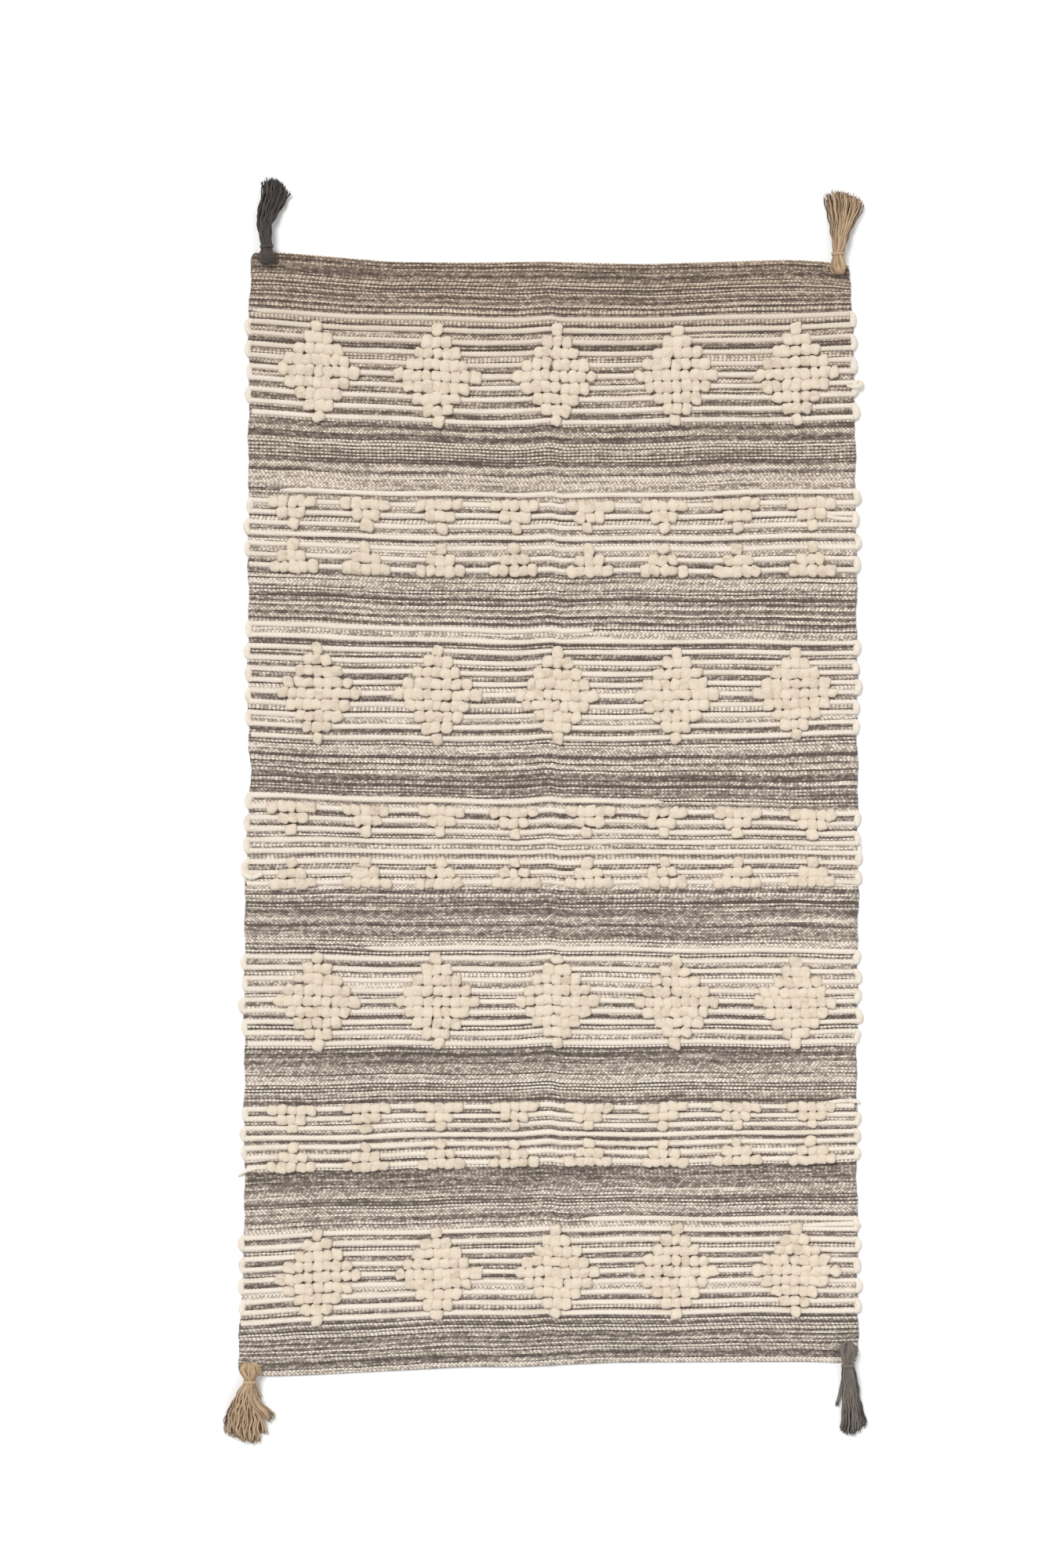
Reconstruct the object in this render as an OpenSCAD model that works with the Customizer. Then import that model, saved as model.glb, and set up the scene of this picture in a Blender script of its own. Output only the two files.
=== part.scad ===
// Hand-woven cotton rug with popcorn-loop motifs and a yarn tassel at each corner.
// It lies flat: z = 0 is the floor, the long side runs along Y, the far end is +Y.
// The YZ plane is the lengthwise crease, where the right half folds over the left.

/* [Cloth] */
// Length of the cloth along the crease
cloth_l = 1451; // [1205:1:1745]
// Mean width of the half left of the crease
left_w = 404; // [335:1:490]
// Mean width of the half right of the crease
right_w = 396; // [330:1:480]
// Amount the left edge leans out at the near end, and in at the far end
left_flare = 7; // [0:1:12]
// Amount the right edge leans out at the near end, and in at the far end
right_flare = 4; // [0:1:12]
// Amount each end stands out at its left corner, and in at its right corner
end_slant = 6; // [0:1:10]
// Thickness of the plain weave
cloth_t = 4; // [3:0.5:6]
// Gap between the two halves at the crease
crease_gap = 0.4; // [0.3:0.1:1]
// Length of the turned hem at each end
hem_l = 14; // [8:1:24]
// Thickness of the turned hem
hem_t = 5; // [4:0.5:8]

/* [Thick weft] */
// Spacing of the thick weft rows along the length, before each band is beaten
row_pitch = 14.4; // [11.9:0.1:17]
// Width of one thick row
row_w = 8; // [6:0.5:9]
// Height of a thick row above the plain weave
row_h = 3.4; // [2:0.1:3.8]
// Distance from the far end to the middle of the first band
far_plain = 155; // [130:1:180]
// Distance from the near end to the middle of the last band
near_plain = 128; // [110:1:150]
// Reach of a selvedge turn beyond the cloth
turn_out = 6; // [3:0.5:8]
// Height of a selvedge turn
turn_h = 7; // [4:0.5:8]

/* [Popcorn loops] */
// Spacing of the loops along a row
loop_pitch = 12; // [10:0.1:14.4]
// Clearance between one loop and the next thing
loop_gap = 0.3; // [0.2:0.05:0.6]
// Distance from the edge to the middle of the outermost diamond
diamond_margin = 74; // [62:1:80]
// Distance from the edge to the middle of the outermost triangle
triangle_margin = 52.5; // [45:0.5:60]

/* [Tassels] */
// Radius of the rounded head of a tassel
head_r = 11; // [9.2:0.1:13.2]
// Radius of the bundle where it is bound
neck_r = 7.5; // [6.3:0.1:9]
// Distance from the tie to the binding of the shortest head
neck_at = 12; // [10:0.5:14.4]
// Radius of the binding thread
wrap_r = 0.65; // [0.5:0.05:0.8]
// Turns of the binding thread
wrap_turns = 3; // [2:1:5]
// Radius of the tie cord
tie_r = 1.4; // [1:0.1:1.8]
// Clearance between a moving tassel and what it passes
tassel_gap = 0.3; // [0.2:0.1:0.6]
// Half thickness of the skirt of a tassel at its tip
skirt_half_t = 6; // [5:0.5:8]

/* [Hidden] */
$fn = 48;
TIE_EYE_GAP = 0.3;    // the tie cord runs free in the eye of the head by this much
KNOT_T = 0.8;         // thickness of the knots that end the tie
KNOT_R = 2.5;
WRAP_SLACK = 0.02;    // half of the gap between two turns of the binding
WRAP_LIFT = 0.05;     // gap between the binding and the neck
BELLY = 4;            // the head is round up to this distance past the tie
FLOOR_GAP = 0.5;      // the skirt's underside over the floor
SKIRT_RINGS = 7;
SKIRT_SIDES = 16;
SHORTEST_ROW = 2;     // a thick row shorter than this between two motifs is left out

// The weaving draft: one list a band, far end first, with the loops of each thick row.
BANDS = [
    [0, 1, 3, 5, 7, 9, 7, 5, 3, 1],
    [0, 5, 3, 1, 0, 1, 3, 5],
    [0, 0, 1, 3, 5, 7, 9, 7, 5, 3, 1],
    [0, 5, 3, 1, 0, 0, 1, 3, 5],
    [0, 1, 3, 5, 7, 9, 7, 5, 3, 1],
    [5, 3, 1, 0, 1, 3, 5],
    [0, 1, 3, 5, 7, 9, 7, 5, 3, 1]];
// The row that lies at the middle of each band.
MIDDLE_ROW = [5, 4, 6, 4.5, 5, 3, 5];
// Plain-woven and banded length from each band's middle to the next, before it is spread.
BAND_STEPS = [211, 205, 198, 201, 174, 179];
// How tightly each band is beaten: the spacing of its rows as a share of row_pitch.
BAND_BEAT = [1.03, 0.98, 0.98, 0.92, 0.95, 0.84, 0.94];
// Where the first row of each band starts and stops, as shares of the half widths.
FIRST_ROW = [[-1, 1], [-1, 1], [-1, 0.14], [-1, 0.37], [-0.61, 1], [-1, 1], [0.09, 1]];
// The first row of each band that turns back at the left edge, and at the right edge.
FIRST_TURN_LEFT = [1, 1, 0, 0, 1, 0, 1];
FIRST_TURN_RIGHT = [0, 0, 1, 1, 0, 1, 0];
DIAMONDS = 5;
TRIANGLES = 8;

LEFT = -1;
RIGHT = 1;
FAR = 1;
NEAR = -1;
// One tassel a corner: name, side, end, distances of its tie from the side and the end, how
// much longer its head is, skirt length, skirt width at the tip, sideways bend of the skirt,
// colour.
TASSELS = [
    ["far_left",   LEFT,  FAR,  25, 5.5,  0, 88, 46, 11,  "#4a4440"],
    ["far_right",  RIGHT, FAR,  19, 5,    2, 81, 58, 9,   "#b99f83"],
    ["near_left",  LEFT,  NEAR, 17, 5,    0, 79, 58, 10,  "#b99f83"],
    ["near_right", RIGHT, NEAR, 14, 19.5, 5, 89, 43, -9,  "#6b625c"]];
SKIRT_DROP_FROM = 26;  // beyond this distance from the tie the skirt sinks to the floor
SKIRT_DROP_TO = 75;

loop_d = min(loop_pitch, row_pitch * min(BAND_BEAT)) - loop_gap;
narrow_half = min(left_w - left_flare, right_w - right_flare);
diamond_step = (narrow_half - loop_pitch / 2 - diamond_margin) / ((DIAMONDS - 1) / 2);
triangle_step = (narrow_half - triangle_margin) / ((TRIANGLES - 1) / 2);
band_spread = (cloth_l - far_plain - near_plain) / total(BAND_STEPS, len(BAND_STEPS));
tie_z = hem_t + tassel_gap + head_r;
wrap_l = wrap_turns * 2 * (wrap_r + WRAP_SLACK);

// Sum of the first n items of a list.
function total(list, n) = n <= 0 ? 0 : list[n - 1] + total(list, n - 1);
function smooth(t) = let (u = max(0, min(1, t))) u * u * (3 - 2 * u);

// Half length of the cloth at a corner, and x of the side edge at a given y.
function half_l(side) = cloth_l / 2 - side * end_slant;
function flare(side) = side == LEFT ? left_flare : right_flare;
function mean_w(side) = side == LEFT ? left_w : right_w;
function edge_x(side, y) = side * (mean_w(side) - flare(side) * y / half_l(side));

// y of the middle of a band, and of one of its rows.
function band_y(b) = cloth_l / 2 - far_plain - band_spread * total(BAND_STEPS, b);
function beaten_pitch(b) = row_pitch * BAND_BEAT[b];
function row_y(b, r) = band_y(b) + (MIDDLE_ROW[b] - r) * beaten_pitch(b);

// Motifs of a band: diamonds in the odd bands, triangles in the even ones.
function is_diamond(b) = b % 2 == 0;
function motifs(b) = is_diamond(b) ? DIAMONDS : TRIANGLES;
function motif_x(b, m) = is_diamond(b)
    ? loop_pitch / 2 + (m - (DIAMONDS - 1) / 2) * diamond_step
    : (m - (TRIANGLES - 1) / 2) * triangle_step;
// Loops of one row on one side of the crease.
function loop_xs(b, r, side) = [
    for (m = [0 : motifs(b) - 1], k = [0 : 1 : BANDS[b][r] - 1])
        let (x = motif_x(b, m) + (k - (BANDS[b][r] - 1) / 2) * loop_pitch)
            if (x * side > 0) x];

// Stretches of thick row between the motifs of row r, for one side of the crease.
function reach(b, r) = BANDS[b][r] * loop_pitch / 2 + loop_gap / 2;
function row_start(b, r, i) = i == 0 ? -left_w * 2 : motif_x(b, i - 1) + reach(b, r);
function row_stop(b, r, i) = i == motifs(b) ? right_w * 2 : motif_x(b, i) - reach(b, r);
function clip_low(x, side, y) = max(x, side == LEFT ? edge_x(LEFT, y) : crease_gap / 2);
function clip_high(x, side, y) = min(x, side == LEFT ? -crease_gap / 2 : edge_x(RIGHT, y));
function plain_span(b, r) = r > 0
    ? [-left_w * 2, right_w * 2]
    : [FIRST_ROW[b][0] <= -1 ? -left_w * 2 : FIRST_ROW[b][0] * left_w,
       FIRST_ROW[b][1] >= 1 ? right_w * 2 : FIRST_ROW[b][1] * right_w];
function raw_spans(b, r) = BANDS[b][r] == 0
    ? [plain_span(b, r)]
    : [for (i = [0 : motifs(b)]) [row_start(b, r, i), row_stop(b, r, i)]];
function spans(b, r, side) = [
    for (s = raw_spans(b, r))
        let (y = row_y(b, r), a = clip_low(s[0], side, y), z = clip_high(s[1], side, y))
            if (z - a > SHORTEST_ROW) [a, z]];
function first_turn(b, side) = side == LEFT ? FIRST_TURN_LEFT[b] : FIRST_TURN_RIGHT[b];

// Outline of one half of the cloth between two distances from the ends.
module half_outline(side, from_far, from_near) {
    far_y = half_l(side) - from_far;
    near_y = from_near - half_l(side);
    inner = side * crease_gap / 2;
    polygon([
        [inner, cloth_l / 2 - from_far],
        [edge_x(side, far_y), far_y],
        [edge_x(side, near_y), near_y],
        [inner, from_near - cloth_l / 2]]);
}

module ground(side) {
    color("#a39b93")
        linear_extrude(cloth_t)
            half_outline(side, hem_l, hem_l);
}

module hem(side, end) {
    color("#8f8780")
        linear_extrude(hem_t)
            polygon([
                [side * crease_gap / 2, end * cloth_l / 2],
                [edge_x(side, end * half_l(side)), end * half_l(side)],
                [edge_x(side, end * half_l(side)), end * (half_l(side) - hem_l)],
                [side * crease_gap / 2, end * (cloth_l / 2 - hem_l)]]);
}

// Cross-section of a thick row: a segment of a circle, flat on the plain weave.
module row_profile() {
    arc_r = (row_w * row_w / 4 + row_h * row_h) / (2 * row_h);
    intersection() {
        translate([0, row_h - arc_r])
            circle(r = arc_r);
        translate([-row_w / 2, 0])
            square([row_w, row_h]);
    }
}

module rows(b, side) {
    color("#e9dfcd")
        for (r = [0 : len(BANDS[b]) - 1], s = spans(b, r, side))
            translate([s[0], row_y(b, r), cloth_t])
                rotate([90, 0, 90])
                    linear_extrude(s[1] - s[0])
                        row_profile();
}

module loops(b, side) {
    color("#efe6d6")
        for (r = [0 : len(BANDS[b]) - 1], x = loop_xs(b, r, side))
            translate([x, row_y(b, r), cloth_t + loop_d / 2])
                sphere(d = loop_d);
}

// Plan of one turn: a segment of a circle on a chord along the selvedge.
module turn_outline(side, chord) {
    arc_r = (chord * chord / 4 + turn_out * turn_out) / (2 * turn_out);
    intersection() {
        translate([side * (turn_out - arc_r), 0])
            circle(r = arc_r);
        translate([side * turn_out / 2, 0])
            square([turn_out, chord], center = true);
    }
}

// Turns of the thick weft round the selvedge. Each joins two rows, and the two edges take
// turns, so the weft runs to and fro through the band.
module turns(side) {
    color("#e9dfcd")
        for (b = [0 : len(BANDS) - 1])
            for (r = [first_turn(b, side) : 2 : len(BANDS[b]) - 2])
                let (y = row_y(b, r + 0.5))
                    translate([edge_x(side, y) + side * loop_gap, y, 0])
                        linear_extrude(turn_h)
                            turn_outline(side, beaten_pitch(b) + row_w - 2);
}

// Places its children at a tassel's tie, with +Y along the tassel.
module at_tie(t) {
    side = t[1];
    end = t[2];
    y = end * (half_l(side) - t[4]);
    translate([edge_x(side, y) - side * t[3], y, tie_z])
        rotate([0, 0, end == FAR ? 0 : 180])
            children();
}

// Cord that passes through the head and ends in a knot on the cloth on each side.
module tie(t) {
    reach = head_r + tassel_gap + tie_r;
    color(t[9])
        at_tie(t)
            union() {
                rotate([0, 90, 0])
                    cylinder(h = 2 * reach, r = tie_r, center = true);
                for (s = [-1, 1])
                    translate([s * reach, 0, 0]) {
                        sphere(r = tie_r);
                        translate([0, 0, -head_r])
                            cylinder(h = head_r, r = tie_r);
                        translate([0, 0, -head_r])
                            cylinder(h = KNOT_T, r = KNOT_R);
                    }
            }
}

// Distances from a tassel's tie to its binding, and to the start of its skirt.
function neck_from(t) = neck_at + t[5];
function skirt_from(t) = neck_from(t) + wrap_l;

// Half outline of the folded yarn: a round head that narrows to the bound neck.
module head_profile(t) {
    belly_r = sqrt(head_r * head_r - BELLY * BELLY);
    union() {
        intersection() {
            circle(r = head_r);
            translate([0, -head_r])
                square([head_r, head_r + BELLY]);
        }
        polygon([
            [0, BELLY], [belly_r, BELLY],
            [neck_r, neck_from(t)], [neck_r, skirt_from(t)], [0, skirt_from(t)]]);
    }
}

// Folded yarn above the binding, with the eye that the tie runs through.
module head(t) {
    color(t[9])
        at_tie(t)
            difference() {
                rotate([-90, 0, 0])
                    rotate_extrude()
                        head_profile(t);
                rotate([0, 90, 0])
                    cylinder(h = 3 * head_r, r = tie_r + TIE_EYE_GAP, center = true);
            }
}

// Turns of thread that bind the neck.
module wrap(t) {
    color(t[9])
        at_tie(t)
            for (i = [0 : wrap_turns - 1])
                translate([0, neck_from(t) + (i + 0.5) * wrap_l / wrap_turns, 0])
                    rotate([-90, 0, 0])
                        rotate_extrude()
                            translate([neck_r + WRAP_LIFT + wrap_r, 0])
                                circle(r = wrap_r, $fn = 16);
}

// One ring of the skirt's surface, t from 0 at the binding to 1 at the tip.
function skirt_ring(tas, t) =
    let (
        along = skirt_from(tas) + tas[6] * t,
        half_w = neck_r + (tas[7] / 2 - neck_r) * pow(t, 0.9),
        half_h = neck_r + (skirt_half_t - neck_r) * t,
        drop = (tie_z - FLOOR_GAP - half_h)
            * smooth((along - SKIRT_DROP_FROM) / (SKIRT_DROP_TO - SKIRT_DROP_FROM)),
        bend = tas[8] * t * t)
    [for (i = [0 : SKIRT_SIDES - 1])
        let (a = i * 360 / SKIRT_SIDES)
            [bend + half_w * cos(a), along, half_h * sin(a) - drop]];

// Cut yarn ends below the binding, spread flat on the floor.
module skirt(tas) {
    rings = [for (k = [0 : SKIRT_RINGS - 1]) skirt_ring(tas, k / (SKIRT_RINGS - 1))];
    points = [for (ring = rings, p = ring) p];
    n = SKIRT_SIDES;
    sides = [
        for (k = [0 : SKIRT_RINGS - 2], i = [0 : n - 1])
            let (j = (i + 1) % n)
                each [[k * n + i, k * n + j, (k + 1) * n + i],
                      [k * n + j, (k + 1) * n + j, (k + 1) * n + i]]];
    near_cap = [for (i = [n - 1 : -1 : 0]) i];
    far_cap = [for (i = [0 : n - 1]) (SKIRT_RINGS - 1) * n + i];
    color(tas[9])
        at_tie(tas)
            polyhedron(points, concat(sides, [near_cap, far_cap]));
}

ground(LEFT);  // ground_left
ground(RIGHT);  // ground_right
hem(LEFT, FAR);  // hem_far_left
hem(RIGHT, FAR);  // hem_far_right
hem(LEFT, NEAR);  // hem_near_left
hem(RIGHT, NEAR);  // hem_near_right
turns(LEFT);  // turns_left
turns(RIGHT);  // turns_right
for (b = [0 : len(BANDS) - 1]) {
    rows(b, LEFT);
    rows(b, RIGHT);
    loops(b, LEFT);
    loops(b, RIGHT);
}
for (t = TASSELS) {
    tie(t);
    head(t);
    wrap(t);
    skirt(t);
}
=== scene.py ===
"""A hand-woven cotton rug, laid flat: ground weave, thick weft rows, popcorn loops and tassels.

Lengths are millimetres in the weave's own plan: u runs across from the crease, v along from
the middle, and the functions in "The lie of the cloth" turn them into places on the floor.
"""
import math

import bmesh
import bpy
import numpy as np
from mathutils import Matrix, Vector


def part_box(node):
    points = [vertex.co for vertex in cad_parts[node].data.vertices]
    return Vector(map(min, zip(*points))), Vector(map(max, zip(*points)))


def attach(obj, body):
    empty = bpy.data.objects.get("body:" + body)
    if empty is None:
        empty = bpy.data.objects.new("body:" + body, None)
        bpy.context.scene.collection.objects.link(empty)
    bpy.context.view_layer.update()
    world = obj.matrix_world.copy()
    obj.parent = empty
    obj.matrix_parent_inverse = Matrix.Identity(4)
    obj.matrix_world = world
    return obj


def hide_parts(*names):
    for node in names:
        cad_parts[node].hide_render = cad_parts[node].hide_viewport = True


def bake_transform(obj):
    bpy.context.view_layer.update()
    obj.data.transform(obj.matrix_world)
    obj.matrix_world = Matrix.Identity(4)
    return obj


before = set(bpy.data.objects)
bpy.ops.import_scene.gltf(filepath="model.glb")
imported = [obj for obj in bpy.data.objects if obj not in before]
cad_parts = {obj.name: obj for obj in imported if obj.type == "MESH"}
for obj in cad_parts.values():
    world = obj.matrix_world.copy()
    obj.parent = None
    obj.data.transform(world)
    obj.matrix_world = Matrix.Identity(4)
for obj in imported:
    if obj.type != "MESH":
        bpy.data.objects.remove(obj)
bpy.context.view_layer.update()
rng = np.random.default_rng(11)

MM = 0.001
UV = "Weave"

# ---------------------------------------------------------------- the weaving draft

# Loops of one motif on each thick row, one list a band, far end first.
BANDS = (
    (0, 1, 3, 5, 7, 9, 7, 5, 3, 1),
    (0, 5, 3, 1, 0, 1, 3, 5),
    (0, 0, 1, 3, 5, 7, 9, 7, 5, 3, 1),
    (0, 5, 3, 1, 0, 0, 1, 3, 5),
    (0, 1, 3, 5, 7, 9, 7, 5, 3, 1),
    (5, 3, 1, 0, 1, 3, 5),
    (0, 1, 3, 5, 7, 9, 7, 5, 3, 1),
)
# Where the first row of a band starts and stops, from -1 at the left edge to 1 at the right.
FIRST_ROW = ((-0.97, 1), (-0.88, 1), (-1, 0.14), (-1, 0.37), (-0.61, 1), (-1, 1), (0.09, 1))
# The first row of each band that turns back at the left edge, and at the right edge.
FIRST_TURN = {-1: (1, 1, 0, 0, 1, 0, 1), 1: (0, 0, 1, 1, 0, 1, 0)}
DIAMOND_US = (-306, -150, 6, 162, 318)
TRIANGLES = 8       # to each band of them
TRIANGLE_STEP = 97
LOOP_PITCH = 12
PICK = 2.1          # spacing of the fine picks along the cloth
PICK_R = 1.5        # half thickness of a pick's yarn
BEAD = 5.3          # two warps, so the length of one bead of weft on the face
STAGGER = 0.6       # how far the beads of one pick may be out of step, as a share of a bead
TIGHT_FROM = 0.56   # the shade of weft from which its beads lie flatter

GROUND_LOW = 1.3    # underside and face of the plain weave
GROUND_HIGH = 4.3
HALF_W = {-1: 404, 1: 396}      # from the crease to the left edge, and to the right edge
HALF_L = 725.5
HEM = 14
HEM_Z = 2.75        # height of a hem's middle
HEM_HALF_T = 2.45
ROW_W = 7.6
ROW_Z = 3.8         # height of a thick row's middle
ROW_HALF_H = 3.5
CAD_ROW_W = 8       # width of a thick row in the CAD
ROW_UV_STEP = 3     # the rows lie this many times further apart in their texture
# Painted shade: the thick weft is darkened towards the far end, where the light falls off.
FAR_SHADE_ROWS = (520, 640)      # the thick weft turns duller between these two v
ROVING_TWIST = 26   # length of one turn of the thick weft's plies


def box_mm(*nodes):
    """Lowest and highest corner of some CAD nodes, in mm."""
    corners = [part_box(n) for n in nodes]
    low = np.min([np.array(c[0]) for c in corners], axis=0)
    high = np.max([np.array(c[1]) for c in corners], axis=0)
    return low / MM, high / MM


def row_vs(band):
    """v of each thick row of a band, from the CAD's own rows."""
    low, high = box_mm(f"rows_{band + 1}_left", f"rows_{band + 1}_right")
    return np.linspace(high[1] - CAD_ROW_W / 2, low[1] + CAD_ROW_W / 2, len(BANDS[band]))


ROW_VS = [row_vs(b) for b in range(len(BANDS))]


def motif_us(band):
    """u of the middle of each diamond or triangle of a band."""
    if band % 2 == 0:
        return DIAMOND_US
    return [(m - (TRIANGLES - 1) / 2) * TRIANGLE_STEP for m in range(TRIANGLES)]


# ---------------------------------------------------------------- the lie of the cloth

CREASE_U = -2       # top of the crease's low ridge
SHIFT_U = 390       # distance from the crease at which the shifts below are told
# How far the first and the last row of each band lie beyond their place at the crease:
# at the left edge, then at the right edge.
LEFT_SHIFT = ((13, 14), (9, 9), (10, 5), (8, 0), (4, -2), (-4, -8), (-10, -13))
RIGHT_SHIFT = ((8, 7), (6, 2), (-2, 8), (-3, 2), (-4, 2), (0, 6), (2, 3))
# Outline of the laid cloth: x of the two sides by v, and y of the two ends by u.
LEFT_SIDE = ((-733, -409), (-669, -409), (-545, -402), (-166, -402), (-2, -398), (39, -391),
             (80, -397), (244, -397), (654, -396), (733, -392))
RIGHT_SIDE = ((-725, 400), (-400, 398), (-100, 400), (300, 398), (560, 395), (680, 391),
              (725, 389))
FAR_END = ((-395, 733), (-370, 735), (-286, 728), (-209, 721.5), (-107, 720.5), (-14, 722),
           (119, 718.5), (230, 722), (314, 724.5), (370, 721), (395, 714))
NEAR_END = ((-412, -732), (-377, -735.5), (-310, -733), (-107, -722.5), (-45, -723),
            (11, -720), (78, -717), (334, -716), (380, -717.5), (400, -715))
CORNER_L = 10       # the sides draw in over this length towards a corner, by CORNER_CUT
CORNER_CUT = 4.0


def curve(points, at):
    """Smooth curve through listed points: straight lines, rounded off over their corners."""
    xs, ys = np.array(points, float).T
    reach = 18.0
    steps = (-1, -0.5, 0, 0.5, 1)
    return sum(np.interp(at + s * reach, xs, ys) for s in steps) / len(steps)


def edge(side, v):
    """x of the cloth's side edge, with the small pull of each turn of the weft."""
    base = curve(LEFT_SIDE if side < 0 else RIGHT_SIDE, v)
    corner = CORNER_CUT * np.clip((np.abs(v) - HALF_L + CORNER_L) / CORNER_L, 0, 1) ** 3
    pull = 0.8 * np.sin(v / 9.1 + side) + 0.6 * np.sin(v / 23.0) + 0.35 * np.sin(v / 2.9)
    return base + side * (pull - corner)


def smooth(t):
    """t held to 0..1, leaving 0 and reaching 1 softly."""
    t = np.clip(t, 0, 1)
    return t * t * (3 - 2 * t)


def knots(shifts):
    """v and shift of the first and last row of each band, in order of v."""
    vs = [v for rows in ROW_VS for v in (rows[0], rows[-1])]
    values = [s for pair in shifts for s in pair]
    order = np.argsort(vs)
    return np.array(vs)[order], np.array(values, float)[order]


LEFT_KNOTS = knots(LEFT_SHIFT)
RIGHT_KNOTS = knots(RIGHT_SHIFT)


def drift(u, v):
    """How far the weft at (u, v) lies beyond its place at the crease."""
    left = np.interp(v, *LEFT_KNOTS) * np.clip(-u / SHIFT_U, 0, 1.1) ** 1.8
    right = np.interp(v, *RIGHT_KNOTS) * np.clip(u / SHIFT_U, 0, 1.1) ** 1.3
    crest = 2.4 * np.exp(-((u - CREASE_U) / np.where(u < CREASE_U, 26, 9)) ** 2)
    wander = 0.7 * np.sin(u / 31 + 2.2 * np.sin(v / 71)) + 0.6 * np.sin(u / 67 + v / 43)
    return left + right + crest + wander


def place_y(u, v):
    """y of a weave point: inside the bands by their drift, and towards each end by the outline."""
    y = v + drift(u, v)
    first, last = ROW_VS[0][0], ROW_VS[-1][-1]
    far = smooth((v - first) / (HALF_L - first))
    near = smooth((last - v) / (HALF_L + last))
    y = y + far * (curve(FAR_END, u) - HALF_L - drift(u, HALF_L))
    return y + near * (curve(NEAR_END, u) + HALF_L - drift(u, -HALF_L))


def lift(u, v):
    """Height of the cloth off the floor: the crease's ridge and slight waves."""
    ridge = 1.5 * np.exp(-((u - CREASE_U) / np.where(u < CREASE_U, 11, 8)) ** 2)
    waves = 0.35 * (np.sin(u / 83 + v / 140 + 1) + np.sin(v / 61 - u / 210) + 1.2)
    return ridge + np.clip(waves, 0, None)


def place(u, v, z=0.0):
    """Point on the laid cloth, in mm, for weave point (u, v) at height z over its underside."""
    u, v = np.broadcast_arrays(np.asarray(u, float), np.asarray(v, float))
    return np.stack([u, place_y(u, v), z + lift(u, v)], axis=-1)


# ---------------------------------------------------------------- meshes

class Mesh:
    """Collects grids of quads, with a UV in mm for each corner, and makes one piece of them."""

    def __init__(self):
        self.points, self.uvs, self.loops, self.sizes = [], [], [], []
        self.count = 0

    def faces(self, corners, uv):
        """corners: (faces, n) vertex numbers in the whole mesh; uv: one pair for each corner."""
        self.loops.append(corners.ravel())
        self.sizes.append(np.full(len(corners), corners.shape[1]))
        self.uvs.append(np.asarray(uv, float).reshape(-1, 2))

    def grid(self, points, uv, around=False, caps=False, flip=False):
        """points: (rings, n, 3). around joins the last point of each ring to its first, and
        then uv has n + 1 columns. caps closes both ends, and flip turns the faces over."""
        rings, n = points.shape[:2]
        columns = n if around else n - 1
        i, j = np.meshgrid(np.arange(rings - 1), np.arange(columns), indexing="ij")
        ends = ((i, j), (i, j + 1), (i + 1, j + 1), (i + 1, j))
        ends = ends[::-1] if flip else ends
        quads = np.stack([a * n + b % n for a, b in ends], axis=-1).reshape(-1, 4)
        corner_uv = np.stack([uv[a, b] for a, b in ends], axis=-2).reshape(-1, 2)
        self.faces(quads + self.count, corner_uv)
        if caps:
            first = np.arange(n)[::-1]
            last = (rings - 1) * n + np.arange(n)
            if flip:
                first, last = first[::-1], last[::-1]
            for ring, row in ((first, uv[0]), (last, uv[-1])):
                self.faces(ring[None] + self.count, np.repeat(row[:1], n, axis=0))
        self.points.append(points.reshape(-1, 3))
        self.count += rings * n

    def piece(self, name, material):
        """The Blender object, smooth-shaded, in metres."""
        mesh = bpy.data.meshes.new(name)
        points = np.concatenate(self.points) * MM
        loops = np.concatenate(self.loops)
        sizes = np.concatenate(self.sizes)
        mesh.vertices.add(len(points))
        mesh.vertices.foreach_set("co", points.astype(np.float32).ravel())
        mesh.loops.add(len(loops))
        mesh.loops.foreach_set("vertex_index", loops.astype(np.int32))
        mesh.polygons.add(len(sizes))
        starts = np.concatenate([[0], np.cumsum(sizes)[:-1]])
        mesh.polygons.foreach_set("loop_start", starts.astype(np.int32))
        mesh.update(calc_edges=True)
        layer = mesh.uv_layers.new(name=UV)
        uv = np.concatenate(self.uvs) * MM
        layer.uv.foreach_set("vector", uv.astype(np.float32).ravel())
        mesh.validate()
        mesh.shade_smooth()
        obj = bpy.data.objects.new(name, mesh)
        bpy.context.collection.objects.link(obj)
        mesh.materials.append(material)
        return obj


def weld(piece):
    """Joins the rims of a piece's grids into one closed surface."""
    work = bmesh.new()
    work.from_mesh(piece.data)
    bmesh.ops.remove_doubles(work, verts=work.verts, dist=0.01 * MM)
    bmesh.ops.recalc_face_normals(work, faces=work.faces)
    work.to_mesh(piece.data)
    work.free()


def frames_along(path):
    """Unit vectors up from a path and across it, for each of its points."""
    tangent = np.gradient(path, axis=0)
    tangent /= np.linalg.norm(tangent, axis=1)[:, None]
    up = np.array([0.0, 0.0, 1.0])
    if abs(tangent[len(path) // 2, 2]) > 0.9:
        up = np.array([0.0, 1.0, 0.0])
    normal = up - tangent * (tangent @ up)[:, None]
    normal /= np.maximum(np.linalg.norm(normal, axis=1), 1e-6)[:, None]
    return normal, np.cross(tangent, normal)


def rounded(path):
    """The path with its corners eased."""
    pad = np.concatenate([2 * path[:1] - path[3:0:-1], path, 2 * path[-1:] - path[-2:-5:-1]])
    kernel = np.array([1, 2, 3, 4, 3, 2, 1]) / 16
    return np.stack([np.convolve(pad[:, i], kernel, "valid") for i in range(3)], axis=-1)


def spread_out(stops, count):
    """count values for each column of a list of stops, evenly along it."""
    stops = np.array(stops, float)
    at = np.linspace(0, 1, len(stops))
    t = np.linspace(0, 1, count)
    return [np.interp(t, at, column) for column in stops.T]


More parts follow.
